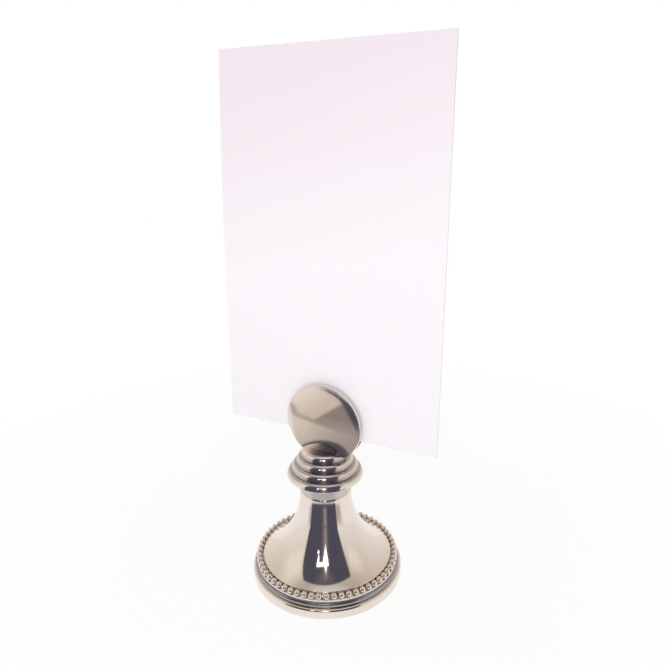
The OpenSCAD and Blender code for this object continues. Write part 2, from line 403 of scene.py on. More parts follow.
def set_tarnish_and_shade(piece, amount):
    """Stores, for each point, how dark tarnish and painted shade make the silver there."""
    store(piece, "tarnish_and_shade", [amount(v.co) for v in piece.data.vertices])


# Materials


def cleared(owner):
    """The nodes and links of a material or a world, emptied."""
    owner.use_nodes = True
    nodes, links = owner.node_tree.nodes, owner.node_tree.links
    nodes.clear()
    return nodes, links


def new_material(name):
    """A material with one shader, to be dressed."""
    material = bpy.data.materials.new(name)
    nodes, links = cleared(material)
    output = nodes.new("ShaderNodeOutputMaterial")
    shader = nodes.new("ShaderNodeBsdfPrincipled")
    links.new(shader.outputs[0], output.inputs[0])
    return material, nodes, links, shader


def stored(nodes, name):
    """What a mesh stores under a name, as the outputs of a node."""
    node = nodes.new("ShaderNodeAttribute")
    node.attribute_name = name
    return node.outputs


def noise_node(nodes, links, scale, detail, stretch=(1, 1, 1)):
    """Noise in the object's own coordinates, with a scale in marks per metre."""
    where = nodes.new("ShaderNodeTexCoord")
    mapping = nodes.new("ShaderNodeMapping")
    mapping.inputs["Scale"].default_value = stretch
    noise = nodes.new("ShaderNodeTexNoise")
    noise.inputs["Scale"].default_value = scale
    noise.inputs["Detail"].default_value = detail
    links.new(where.outputs["Object"], mapping.inputs["Vector"])
    links.new(mapping.outputs["Vector"], noise.inputs["Vector"])
    return noise.outputs["Fac"]


def ranged(nodes, links, source, low_value, high_value, start=0.0, end=1.0):
    """A value that runs from one number to another as the source runs from start to end."""
    node = nodes.new("ShaderNodeMapRange")
    node.inputs["From Min"].default_value = start
    node.inputs["From Max"].default_value = end
    node.inputs["To Min"].default_value = low_value
    node.inputs["To Max"].default_value = high_value
    links.new(source, node.inputs["Value"])
    return node.outputs["Result"]


def mixed(nodes, links, factor, first, second):
    """A colour mixed from two, each a colour or the output of a node."""
    node = nodes.new("ShaderNodeMix")
    node.data_type = "RGBA"
    links.new(factor, node.inputs[0])
    for socket, value in ((node.inputs[6], first), (node.inputs[7], second)):
        if isinstance(value, tuple):
            socket.default_value = (*value, 1)
        else:
            links.new(value, socket)
    return node.outputs[2]


def calculated(nodes, links, first, second, operation="ADD"):
    """A sum, or another operation, of two values, each a number or the output of a node."""
    node = nodes.new("ShaderNodeMath")
    node.operation = operation
    for socket, value in zip(node.inputs, (first, second)):
        if isinstance(value, (int, float)):
            socket.default_value = value
        else:
            links.new(value, socket)
    return node.outputs[0]


def mixed_shaders(nodes, links, factor, first, second):
    """The output of a node that shows the first shader at 0 and the second at 1."""
    node = nodes.new("ShaderNodeMixShader")
    links.new(factor, node.inputs[0])
    links.new(first, node.inputs[1])
    links.new(second, node.inputs[2])
    return node.outputs[0]


def reach(nodes, links):
    """How far the shaded point is from the middle of the foot."""
    place = nodes.new("ShaderNodeNewGeometry")
    length = nodes.new("ShaderNodeVectorMath")
    length.operation = "LENGTH"
    links.new(place.outputs["Position"], length.inputs[0])
    return length.outputs["Value"]


def mirrored_ray(nodes, links, path):
    """1 for a ray that a polished or a see-through surface sent on, and 0 for others."""
    glossy, clear = path.outputs["Is Glossy Ray"], path.outputs["Is Transmission Ray"]
    return calculated(nodes, links, glossy, clear, "MAXIMUM")


def bumped(nodes, links, shader, height, strength, distance):
    """Raises the shader's surface where the height is large."""
    bump = nodes.new("ShaderNodeBump")
    bump.inputs["Strength"].default_value = strength
    bump.inputs["Distance"].default_value = distance
    links.new(height, bump.inputs["Height"])
    links.new(bump.outputs["Normal"], shader.inputs["Normal"])


# Tones of the pieces
SILVER_BRIGHT = (0.86, 0.775, 0.71)
SILVER_WARM = (0.81, 0.72, 0.64)
# Dark tones for tarnish, and for painted shade and painted dark reflections on the silver
TARNISH_AND_SHADE = (0.13, 0.13, 0.185)
TARNISH_AND_SHADE_THIN = (0.22, 0.187, 0.205)
CARD_WHITE = (0.94, 0.9, 0.935)
# The lilac tint, darkened with painted shade, for the card's top
CARD_LILAC_AND_SHADE = (0.835, 0.745, 0.8)
CARD_FIBRE = (0.88, 0.82, 0.87)
PITCH_DARK = (0.02, 0.015, 0.012)
PITCH_PALE = (0.07, 0.05, 0.04)
PLATE_DARK = (0.42, 0.31, 0.13)
PLATE_PALE = (0.56, 0.43, 0.21)
BAIZE_DARK = (0.008, 0.055, 0.025)
BAIZE_GREEN = (0.035, 0.13, 0.06)
BAIZE_WORN = (0.06, 0.13, 0.08)

# The card's lilac tint and painted shade grow between two heights, which rise by a share of the way to the
# right
LILAC_SHADE_FROM, LILAC_SHADE_TO = 78 * MM, 120 * MM
LILAC_SHADE_RISE_SHARE = 0.2

# How many marks of each kind lie along a metre
CLOUDS = 90
HAIRLINES = 900
BLOTCHES = 420
CARD_FIBRES = 2500
PITCH_LUMPS = 700
ROLLING_LINES = 1200
BAIZE_NAP = 4000
BAIZE_WEAR = 150

# How deep the finest forms are
HAIRLINE_DEPTH = 0.01 * MM
FIBRE_DEPTH = 0.02 * MM
LUMP_DEPTH = 0.2 * MM
LINE_DEPTH = 0.02 * MM
NAP_DEPTH = 0.1 * MM

# How rough polished silver is where it is smooth, where it is worn, and how much tarnish adds
SILVER_SMOOTH, SILVER_WORN = 0.045, 0.085
TARNISH_DULL = 0.24


def silver_material():
    """Polished silver: broad warm clouding, fine hairline wear, tarnish and painted shade where stored."""
    material, nodes, links, shader = new_material("polished_silver")
    clouds = noise_node(nodes, links, CLOUDS, 3)
    hairlines = noise_node(nodes, links, HAIRLINES, 4, (1, 1, 5))
    blotches = noise_node(nodes, links, BLOTCHES, 5, (1, 1, 3))
    tarnish_and_shade = stored(nodes, "tarnish_and_shade")["Fac"]
    clean = mixed(nodes, links, ranged(nodes, links, clouds, 0, 1, 0.35, 0.65), SILVER_BRIGHT, SILVER_WARM)
    dark = mixed(nodes, links, ranged(nodes, links, blotches, 0, 1, 0.38, 0.66), TARNISH_AND_SHADE, TARNISH_AND_SHADE_THIN)
    links.new(mixed(nodes, links, tarnish_and_shade, clean, dark), shader.inputs["Base Color"])
    shader.inputs["Metallic"].default_value = 1.0
    polish = ranged(nodes, links, hairlines, SILVER_SMOOTH, SILVER_WORN, 0.3, 0.7)
    dull = ranged(nodes, links, tarnish_and_shade, 0, TARNISH_DULL)
    links.new(calculated(nodes, links, polish, dull), shader.inputs["Roughness"])
    bumped(nodes, links, shader, hairlines, 0.06, HAIRLINE_DEPTH)
    return material


def card_material():
    """Smooth white card with a lilac tint and painted shade that fade downwards, and a faint paper tooth.
    """
    material, nodes, links, shader = new_material("white_card")
    where = nodes.new("ShaderNodeTexCoord")
    split = nodes.new("ShaderNodeSeparateXYZ")
    links.new(where.outputs["Object"], split.inputs[0])
    slant = calculated(nodes, links, split.outputs["X"], -LILAC_SHADE_RISE_SHARE, "MULTIPLY")
    upward = calculated(nodes, links, split.outputs["Z"], slant)
    fade = ranged(nodes, links, upward, 0, 1, LILAC_SHADE_FROM, LILAC_SHADE_TO)
    # Lilac tint with painted shade towards the card's top
    tint_and_shade = mixed(nodes, links, fade, CARD_WHITE, CARD_LILAC_AND_SHADE)
    fibres = noise_node(nodes, links, CARD_FIBRES, 6)
    flecks = ranged(nodes, links, fibres, 0, 0.3, 0.3, 0.8)
    links.new(mixed(nodes, links, flecks, tint_and_shade, CARD_FIBRE), shader.inputs["Base Color"])
    links.new(ranged(nodes, links, fibres, 0.55, 0.7, 0.3, 0.7), shader.inputs["Roughness"])
    shader.inputs["Specular IOR Level"].default_value = 0.25
    bumped(nodes, links, shader, fibres, 0.15, FIBRE_DEPTH)
    return material


def loading_material():
    """Dark pitch loading, matt and lumpy."""
    material, nodes, links, shader = new_material("pitch_loading")
    lumps = noise_node(nodes, links, PITCH_LUMPS, 5)
    links.new(mixed(nodes, links, lumps, PITCH_DARK, PITCH_PALE), shader.inputs["Base Color"])
    shader.inputs["Roughness"].default_value = 0.8
    bumped(nodes, links, shader, lumps, 0.5, LUMP_DEPTH)
    return material


def plate_material():
    """The closing plate: satin yellow metal with rolling lines."""
    material, nodes, links, shader = new_material("closing_sheet")
    lines = noise_node(nodes, links, ROLLING_LINES, 3, (0.1, 3, 1))
    links.new(mixed(nodes, links, lines, PLATE_DARK, PLATE_PALE), shader.inputs["Base Color"])
    shader.inputs["Metallic"].default_value = 1.0
    links.new(ranged(nodes, links, lines, 0.25, 0.45), shader.inputs["Roughness"])
    bumped(nodes, links, shader, lines, 0.1, LINE_DEPTH)
    return material


def baize_material():
    """Green felted cloth, with a nap of fine short fibres."""
    material, nodes, links, shader = new_material("green_baize")
    nap = noise_node(nodes, links, BAIZE_NAP, 6)
    wear = noise_node(nodes, links, BAIZE_WEAR, 3)
    fibre = mixed(nodes, links, ranged(nodes, links, nap, 0, 1, 0.3, 0.7), BAIZE_DARK, BAIZE_GREEN)
    worn = ranged(nodes, links, wear, 0, 0.4, 0.5, 0.8)
    links.new(mixed(nodes, links, worn, fibre, BAIZE_WORN), shader.inputs["Base Color"])
    shader.inputs["Roughness"].default_value = 0.95
    shader.inputs["Sheen Weight"].default_value = 0.05
    bumped(nodes, links, shader, nap, 0.8, NAP_DEPTH)
    return material


# Where the silver is darkened, from 0 for none to 1

# How much the rim is darkened, at its bottom and at its top
RIM_DARK_LOW, RIM_DARK_HIGH = 0.5, 0.8
# Tarnish and painted shade in the grooves between the rings
GROOVE_REACH = 1.3 * MM
GROOVE_TARNISH_AND_SHADE = 0.55
GROOVE_FADE_SHARE = 0.7
# Painted shade on the stem under the rings
STEM_SHADE = 0.35
# A painted dark reflection on the collar's top around the discs, lighter to the left
TOP_SHADE = 0.9
TOP_SHADE_REACH = 5.3 * MM
TOP_SHADE_FADE = 1 * MM
TOP_LIGHTER_X = -4 * MM
TOP_LIGHTER_FADE = 4 * MM
# Painted shade between the beads, low down
BEAD_SHADE = 0.25
BEAD_SHADE_SHARE = 0.5
# Painted shade on the discs' faces inside the slot
SLOT_SHADE = 0.85
SLOT_SHADE_FADE = 0.2 * MM


def rim_darkening(place):
    """The rim under the beads is darkened all round, most towards its top."""
    share = (place.z - FOOT_TOP) / (RIM_TOP - FOOT_TOP)
    return RIM_DARK_LOW + (RIM_DARK_HIGH - RIM_DARK_LOW) * share


def collar_tarnish_and_shade(place):
    """Tarnish and painted shade in the grooves, painted shade on the stem, a painted reflection on top."""
    r = math.hypot(place.x, place.y)
    worst = 0
    for i in range(1, RING_COUNT):
        groove_z = RING_BASE + i * RING_PITCH + RING_EDGE / 2
        groove_r = RING_R - i * RING_STEP
        away = math.hypot(r - groove_r, place.z - groove_z) / GROOVE_REACH
        worst = max(worst, 1 - away)
    stem = STEM_SHADE if place.z < RING_BASE else 0
    # The top's painted dark reflection, lighter to the left
    on_top = TOP_SHADE * ramp(TOP_SHADE_REACH - r, TOP_SHADE_FADE) if place.z > COLLAR_TOP - RING_EDGE else 0
    lighter_left = ramp(place.x - TOP_LIGHTER_X, TOP_LIGHTER_FADE)
    return max(stem, GROOVE_TARNISH_AND_SHADE * ramp(worst, GROOVE_FADE_SHARE), on_top * lighter_left)


def bead_shade(place):
    """Painted shade between the beads and on the strip, low down."""
    return BEAD_SHADE * max(0, 1 - (place.z - SEAT_TOP) / (BEAD_SHADE_SHARE * BEAD_R))


def bell_dark_line(place):
    """A dark line stays where the bell meets the beads."""
    r = math.hypot(place.x, place.y)
    if r <= STEP_R - STEP_ROUND / 2:
        return 0
    return max(0, 1 - (place.z - SEAT_TOP) / (STEP_TOP - SEAT_TOP))


def disc_slot_shade(place):
    """Painted shade on the discs' faces inside the slot."""
    return SLOT_SHADE * ramp(SLOT_HALF + SLOT_SHADE_FADE - abs(place.y), SLOT_SHADE_FADE)


def no_dirt(place):
    """What a cloth reaches everywhere."""
    return 0


# The pieces


def finish_piece(piece, material, slot, body, *nodes):
    """Gives a piece its material and body and hides the CAD nodes it stands for. The slot is not used."""
    piece.data.materials.append(material)
    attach(piece, body)
    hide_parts(*nodes)


def dress_holder():
    """Makes the silver pieces and gives back their material."""
    silver = silver_material()
    borders = add_border()
    made = [
        (new_object("foot_ring", lathe(foot_section())), "foot_band", no_dirt),
        (new_object("rim_ring", lathe(rim_section())), "rim_moulding", rim_darkening),
        (borders, "bead_border", bead_shade),
        (new_object("bell", lathe(bell_section())), "bell_body", bell_dark_line),
        (new_object("collar", lathe(collar_section())), "stepped_collar", collar_tarnish_and_shade),
        (make_disc("disc_front", 0), "front_disc", disc_slot_shade),
        (make_disc("disc_rear", 180), "rear_disc", disc_slot_shade),
    ]
    for piece, node, tarnish_and_shade in made:
        set_tarnish_and_shade(piece, tarnish_and_shade)
        finish_piece(piece, silver, "silver", "holder", node)
    return silver


def add_border():
    """The strip and its beads, as one piece."""
    maker = lathe(strip_section())
    add_beads(maker)
    return new_object("beaded_edge", maker)


def repaint(node, material):
    """Gives a CAD node that stays another material."""
    mesh = frame["nodes"][node].data
    mesh.materials.clear()
    mesh.materials.append(material)


def dress_inner_pieces(silver):
    """The pieces inside the holder keep their CAD shapes."""
    repaint("card_seat", silver)
    repaint("load_fill", loading_material())
    repaint("base_plate", plate_material())
    repaint("baize_pad", baize_material())


# Surroundings

# Tones of the studio
WHITE = (1.0, 1.0, 1.0)
FLAG_TONE = (0.085, 0.088, 0.128)
DOORWAY_TONE = (0.16, 0.14, 0.155)
LIGHT_TONE = (0.34, 0.3, 0.3)
DIM_TONE = (0.145, 0.128, 0.155)
FRINGE_TONE = (0.52, 0.47, 0.45)
BRIGHT_TONE = (0.9, 0.87, 0.83)
HORIZON_TONE = (0.88, 0.86, 0.84)
GLINT = 3.0

# The dark wall behind the camera, with its sizes as shares of its distance
WALL_TURN_DEG = -3.5
WALL_AWAY = 900 * MM
WALL_LEFT_SHARE = 1.57
WALL_RIGHT_SHARE = 1.0
WALL_LEAN_SHARE = 0.32
WALL_TOP_SHARE = 2.6
WALL_CORNER_SHARE = 0.13
WALL_FADE_SHARE = 0.16
WALL_TOP_FADE_SHARE = 0.3
WALL_SPARE_SHARE = 1.2
WALL_CELLS = 96

# The dark stretch of floor, and the heights of the sheets that lie over the floor
DARK_FLOOR_FROM = 41.5 * MM
DARK_FLOOR_TO = 1700 * MM
FLOOR_CELLS = 110
FRINGE_Z = 0.1 * MM
FLAG_Z = 0.2 * MM
DOORWAY_Z = 0.4 * MM
LIGHT_Z = 0.5 * MM
TABLE_Z = 0.6 * MM

# The middle of the domes that the sheets of the studio lie on, and the radius of each
DOME_CENTRE = Vector((0, 0, 10 * MM))
BRIGHT_AWAY = 1300 * MM
DIM_AWAY = 330 * MM
DOORWAY_AWAY = 320 * MM
LIGHT_AWAY = 315 * MM
PANE_AWAY = 310 * MM
SILL_AWAY = 309 * MM
LENS_AWAY = 308 * MM

# Where the sheets begin and end: azimuths from the camera's direction and elevations, in degrees
FLAG_ACROSS = (-60, 41.5)
FRINGE_ACROSS = (-74, 66)
DIM_ACROSS, DIM_UP = (-36, 24), (48, 65)
DOORWAY_ACROSS, DOORWAY_UP = (-19, 9), (-2, 67)
LIGHT_ACROSS, LIGHT_UP = (-11, 4), (-2, 62)
BRIGHT_LEFT_ACROSS, BRIGHT_LEFT_UP = (-106, -60), (14, 60)
BRIGHT_RIGHT_ACROSS, BRIGHT_RIGHT_UP = (54, 90), (14, 52)
PANE_TOP_ACROSS, PANE_TOP_UP = (-25, -20), (25, 30)
PANE_SILL_ACROSS, PANE_SILL_UP = (-26, 4), (38.5, 44)
PANE_LEFT_ACROSS, PANE_LEFT_UP = (-28, -18), (31, 43)
PANE_RIGHT_ACROSS, PANE_RIGHT_UP = (-12, 5), (14, 56)

# The same for sheets on the floor: shares of the way from the foot to the floor's far end
FRINGE_OUT_SHARES = (0, 0.6)
DOORWAY_OUT_SHARES = (0.02, 0.55)

# Edges of the left and the right pane, in degrees
PANE_LEFT_EDGE, PANE_LEFT_SLANT = -23, 0.3
PANE_LEFT_END, PANE_LEFT_FADE = -20, 1
LENS_MIDDLE, LENS_HALF = -3.5, 7
LENS_WIDEST, LENS_BELOW, LENS_ABOVE = 37, 22, 17
LENS_FADE, LENS_TAPER = 1.2, 1.5


def direction(azimuth, elevation):
    """A direction seen from the object: azimuth in degrees from the camera's own, to its right."""
    a, e = math.radians(azimuth + CAMERA_TURN_DEG), math.radians(elevation)
    return Vector((math.sin(a) * math.cos(e), -math.cos(a) * math.cos(e), math.sin(e)))


def glow_material(name, tone=None, strength=1.0, high_rays_only=False):
    """A tone that only reflections see, fading out where the cover stored on the mesh falls to zero.

    Without a tone, the one stored on the mesh is used. With high_rays_only it shows to rays that
    come from as high as the discs, and lets those from the lower pieces through.
    """
    material = bpy.data.materials.new(name)
    nodes, links = cleared(material)
    output = nodes.new("ShaderNodeOutputMaterial")
    emit = nodes.new("ShaderNodeEmission")
    emit.inputs["Strength"].default_value = strength
    if tone:
        emit.inputs["Color"].default_value = (*tone, 1)
    else:
        links.new(stored(nodes, "tone")["Color"], emit.inputs["Color"])
    clear = nodes.new("ShaderNodeBsdfTransparent")
    cover = stored(nodes, "cover")["Fac"]
    if high_rays_only:
        cover = calculated(nodes, links, cover, from_high(nodes, links), "MULTIPLY")
    mix = mixed_shaders(nodes, links, cover, clear.outputs[0], emit.outputs[0])
    links.new(mix, output.inputs[0])
    return material


def from_high(nodes, links):
    """1 for a ray that left a disc and 0 for one that left a lower piece, told apart by its length.

    A ray that left the axis at a height h has a length whose square, less the reach squared, is
    about h squared. The discs' rays keep more than the neck's height squared. The bell and the
    collar face outwards, and their rays keep less.
    """
    path = nodes.new("ShaderNodeLightPath")
    ray_squared = calculated(nodes, links, path.outputs["Ray Length"], 2, "POWER")
    reach_squared = calculated(nodes, links, reach(nodes, links), 2, "POWER")
    spare = calculated(nodes, links, ray_squared, reach_squared, "SUBTRACT")
    return calculated(nodes, links, spare, NECK_TOP ** 2, "GREATER_THAN")


def soft_box(first, second, feathers):
    """A cover that fades at the low and high ends of both coordinates."""
    def cover(a, b):
        return (
            ramp(a - first[0], feathers[0]) * ramp(first[1] - a, feathers[1])
            * ramp(b - second[0], feathers[2]) * ramp(second[1] - b, feathers[3])
        )
    return cover


def screen(name, place, first, second, cover, material, cells=SCREEN_CELLS, tone=None):
    """A sheet of the studio that only reflections see.

    place turns two coordinates into a point, and first and second are the spans of the two. cover
    gives how solid the sheet is there, and tone its tone where the material has none of its own.
    """
    maker = bmesh.new()
    grid, covers, tones = {}, [], []
    for i in range(cells + 1):
        for j in range(cells + 1):
            a = first[0] + (first[1] - first[0]) * i / cells
            b = second[0] + (second[1] - second[0]) * j / cells
            grid[i, j] = maker.verts.new(place(a, b))
            covers.append(cover(a, b))
            if tone:
                tones.extend((*tone(a, b), 1.0))
    for i in range(cells):
        for j in range(cells):
            maker.faces.new([grid[i, j], grid[i + 1, j], grid[i + 1, j + 1], grid[i, j + 1]])
    sheet = new_object(name, maker)
    store(sheet, "cover", covers)
    if tone:
        store(sheet, "tone", tones, "FLOAT_COLOR", "color")
    sheet.data.materials.append(material)
    sheet.visible_camera = False
    sheet.visible_diffuse = False
    sheet.visible_shadow = False
    sheet.visible_transmission = False
    sheet.visible_volume_scatter = False


def soft_screen(name, place, first, second, feathers, material, cells=SCREEN_CELLS):
    """A sheet that fades at its four ends: low and high in the first coordinate, then in the second."""
    screen(name, place, first, second, soft_box(first, second, feathers), material, cells)


def dome_place(radius):
    """A place on a dome over the object, by azimuth and elevation."""
    return lambda azimuth, elevation: DOME_CENTRE + direction(azimuth, elevation) * radius


def floor_place(height):
    """A place over the floor, by azimuth and a share of the way out, which grows faster further out."""
    def place(azimuth, share):
        point = direction(azimuth, 0) * DARK_FLOOR_FROM * (DARK_FLOOR_TO / DARK_FLOOR_FROM) ** share
        point.z = height
        return point
    return place


def wall_place(azimuth, away):
    """A place on a flat upright wall, by two shares of the wall's distance."""
    side = direction(azimuth + 90, 0)
    middle = direction(azimuth, 0)
    return lambda across, up: (middle + side * across + Vector((0, 0, up))) * away


def wall_cover(across, up):
    """The dark wall's outline: its right edge leans outwards, and its top rises towards both corners."""
    right = WALL_RIGHT_SHARE + WALL_LEAN_SHARE * up
    top = WALL_TOP_SHARE + WALL_CORNER_SHARE * across ** 2
    sides = ramp(across + WALL_LEFT_SHARE, WALL_FADE_SHARE) * ramp(right - across, WALL_FADE_SHARE)
    return sides * ramp(top - up, WALL_TOP_FADE_SHARE)


def dark_side():
    """The dark side of the room, behind the camera: a stretch of floor with a soft fringe, and a wall."""
    flag = glow_material("dark_flag", FLAG_TONE)
    fringe = glow_material("flag_fringe", FRINGE_TONE)
    dim = glow_material("dark_flag_top", DIM_TONE)
    over, under = floor_place(FLAG_Z), floor_place(FRINGE_Z)
    soft_screen("flag_floor", over, FLAG_ACROSS, (0, 1), (4, 4, 0.01, 0), flag, FLOOR_CELLS)
    soft_screen("fringe_floor", under, FRINGE_ACROSS, FRINGE_OUT_SHARES, (14, 14, 0.03, 0.5), fringe)
    highest = WALL_SPARE_SHARE * WALL_TOP_SHARE
    widest = WALL_RIGHT_SHARE + WALL_LEAN_SHARE * highest
    place = wall_place(WALL_TURN_DEG, WALL_AWAY)
    screen("flag_wall", place, (-WALL_LEFT_SHARE, widest), (0, highest), wall_cover, flag, WALL_CELLS)
    soft_screen("dim_patch", dome_place(DIM_AWAY), DIM_ACROSS, DIM_UP, (14, 14, 10, 4), dim)


def lighter_middle():
    """A lighter doorway in the middle of the dark side, brightest along its centre."""
    dim = glow_material("doorway_dim", DOORWAY_TONE)
    light = glow_material("doorway_light", LIGHT_TONE)
    low_dim, tall_dim = floor_place(DOORWAY_Z), dome_place(DOORWAY_AWAY)
    low_light, tall_light = floor_place(LIGHT_Z), dome_place(LIGHT_AWAY)
    soft_screen("doorway_floor", low_dim, DOORWAY_ACROSS, DOORWAY_OUT_SHARES, (9, 9, 0.02, 0), dim)
    soft_screen("doorway_tall", tall_dim, DOORWAY_ACROSS, DOORWAY_UP, (9, 9, 0, 12), dim)
    soft_screen("light_floor", low_light, LIGHT_ACROSS, DOORWAY_OUT_SHARES, (7, 7, 0.02, 0), light)
    soft_screen("light_tall", tall_light, LIGHT_ACROSS, LIGHT_UP, (7, 7, 4, 12), light)


def bright_sides():
    """Two brighter stretches of wall, one on each side of the dark one."""
    bright = glow_material("bright_wall", BRIGHT_TONE)
    place = dome_place(BRIGHT_AWAY)
    soft_screen("bright_left", place, BRIGHT_LEFT_ACROSS, BRIGHT_LEFT_UP, (20, 6, 12, 20), bright)
    soft_screen("bright_right", place, BRIGHT_RIGHT_ACROSS, BRIGHT_RIGHT_UP, (6, 18, 12, 20), bright)


def slanted_cover(azimuth, elevation):
    """The left pane's outline. Its left edge moves left with height."""
    left = PANE_LEFT_EDGE - PANE_LEFT_SLANT * (elevation - PANE_LEFT_UP[0])
    return ramp(azimuth - left, PANE_LEFT_FADE) * ramp(PANE_LEFT_END - azimuth, PANE_LEFT_FADE)


def lens_cover(azimuth, elevation):
    """The right pane's outline, which narrows to a point below and above."""
    tall = LENS_BELOW if elevation < LENS_WIDEST else LENS_ABOVE
    fall = abs(elevation - LENS_WIDEST) / tall
    half = LENS_HALF * max(0, 1 - fall) ** LENS_TAPER
    return ramp(half - abs(azimuth - LENS_MIDDLE), LENS_FADE)


def windows():
    """Small bright window panes high in the dark side."""
    pane = glow_material("window", WHITE, GLINT)
    place, sill, lens = dome_place(PANE_AWAY), dome_place(SILL_AWAY), dome_place(LENS_AWAY)
    soft_screen("pane_top", place, PANE_TOP_ACROSS, PANE_TOP_UP, (1.5, 1.5, 1.5, 1.5), pane, 12)
    soft_screen("pane_sill", sill, PANE_SILL_ACROSS, PANE_SILL_UP, (1, 1, 1.5, 1.5), pane, 20)
    screen("pane_left", place, PANE_LEFT_ACROSS, PANE_LEFT_UP, slanted_cover, pane, 24)
    screen("pane_right", lens, PANE_RIGHT_ACROSS, PANE_RIGHT_UP, lens_cover, pane)


# The table as the discs mirror it, in the object's own X and Y
TABLE_X = (-220 * MM, 0)
TABLE_Y = (-175 * MM, -20 * MM)
TABLE_CELLS = 180
TABLE_PALE = (0.82, 0.78, 0.73)
TABLE_DULL = (0.4, 0.36, 0.35)
TABLE_BRIGHT = (0.97, 0.95, 0.93)
TABLE_MIDDLE = (0.68, 0.62, 0.56)
DULL_FROM, DULL_TO = -64 * MM, -8 * MM
BRIGHT_FROM, BRIGHT_TO = -105 * MM, -40 * MM

# A card's shadow on it, deeper further out
SHADOW_TONE = (0.3, 0.26, 0.262)
SHADOW_THIN = (0.37, 0.33, 0.32)
SHADOW_LEFT = -55.4 * MM
SHADOW_SLANT = 0.116
SHADOW_SIDE_FADE = 2 * MM
SHADOW_NEAR = -65.5 * MM
SHADOW_FADE = 6 * MM
SHADOW_DEEP_FROM = -75 * MM
SHADOW_DEEP_FADE = 12 * MM

# An oval dark spot on it, whose soft edge is given in shares of its size
SPOT_X, SPOT_Y = -22.5 * MM, -37 * MM
SPOT_HALF_X, SPOT_HALF_Y = 13.5 * MM, 17 * MM
SPOT_EDGE_SHARE = 1.08
SPOT_FADE_SHARE = 0.14

# A dull band across it, and the line beyond which all is dark. Their points are in millimetres
BAND_TONE = (0.46, 0.4, 0.37)
BAND_COVER = 0.85
BAND_HALF = 2 * MM
BAND = [(-72, -81), (-68, -77), (-64, -73), (-58, -70), (-48, -71)]
DARK_LINE = [
    (-2, -56), (-14, -75), (-23, -90), (-38, -115),
    (-46, -126), (-57, -136), (-75, -145), (-110, -155),
]
DARK_LINE_HALF = 1 * MM


def beside(line, x, y):
    """Distance from a line of points in millimetres, positive on its right side as it is walked."""
    here = Vector((x, y))
    best = None
    for first, second in zip(line, line[1:]):
        start, end = Vector(first) * MM, Vector(second) * MM
        along = end - start
        share = min(1, max(0, (here - start).dot(along) / along.length_squared))
        away = here - start - along * share
        side = 1 if away.x * along.y - away.y * along.x > 0 else -1
        if best is None or away.length < abs(best):
            best = side * away.length
    return best


def table_tone(x, y):
    """The table's tone at a place: pale or dull near the object, bright beyond the band, dark at last."""
    near = blended(TABLE_PALE, TABLE_DULL, ramp(x - DULL_FROM, DULL_TO - DULL_FROM))
    far = blended(TABLE_BRIGHT, TABLE_MIDDLE, ramp(x - BRIGHT_FROM, BRIGHT_TO - BRIGHT_FROM))
    from_band = beside(BAND, x, y)
    tone = blended(far, near, ramp(BAND_HALF - from_band, 2 * BAND_HALF))
    tone = blended(tone, BAND_TONE, BAND_COVER * ramp(2 * BAND_HALF - abs(from_band), BAND_HALF))
    from_side = x - SHADOW_LEFT + SHADOW_SLANT * y
    shadow = ramp(SHADOW_NEAR - y, SHADOW_FADE) * ramp(from_side, SHADOW_SIDE_FADE)
    depth = ramp(SHADOW_DEEP_FROM - y, SHADOW_DEEP_FADE)
    tone = blended(tone, blended(SHADOW_THIN, SHADOW_TONE, depth), shadow)
    from_spot = math.hypot((x - SPOT_X) / SPOT_HALF_X, (y - SPOT_Y) / SPOT_HALF_Y)
    tone = blended(tone, FLAG_TONE, ramp(SPOT_EDGE_SHARE - from_spot, SPOT_FADE_SHARE))
    return blended(FLAG_TONE, tone, ramp(beside(DARK_LINE, x, y) + DARK_LINE_HALF, 2 * DARK_LINE_HALF))


def everywhere(x, y):
    """The cover of a sheet that is solid up to its edges."""
    return 1.0


def table_place(x, y):
    """A place just over the table."""
    return Vector((x, y, TABLE_Z))


def table_for_discs():
    """The sheet that shows the discs, and nothing else, their view of the table."""
    tone = glow_material("mirrored_table", high_rays_only=True)
    screen("mirrored_table", table_place, TABLE_X, TABLE_Y, everywhere, tone, TABLE_CELLS, table_tone)


# Tones of the room, from the horizon, at 0, to overhead, at 1
ROOM_TONES = [
    (0.0, HORIZON_TONE), (0.26, (0.82, 0.79, 0.75)), (0.5, (0.75, 0.71, 0.66)),
    (0.71, (0.69, 0.64, 0.59)), (0.9, (0.54, 0.49, 0.46)), (1.0, WHITE),
]
WORLD_STRENGTH = 0.5


def fill_ramp(stops, tones):
    """Puts tones, each with its place, into a new colour ramp, which has a stop at either end."""
    stops[0].color = (*tones[0][1], 1)
    stops[-1].color = (*tones[-1][1], 1)
    for position, tone in tones[1:-1]:
        stops.new(position).color = (*tone, 1)


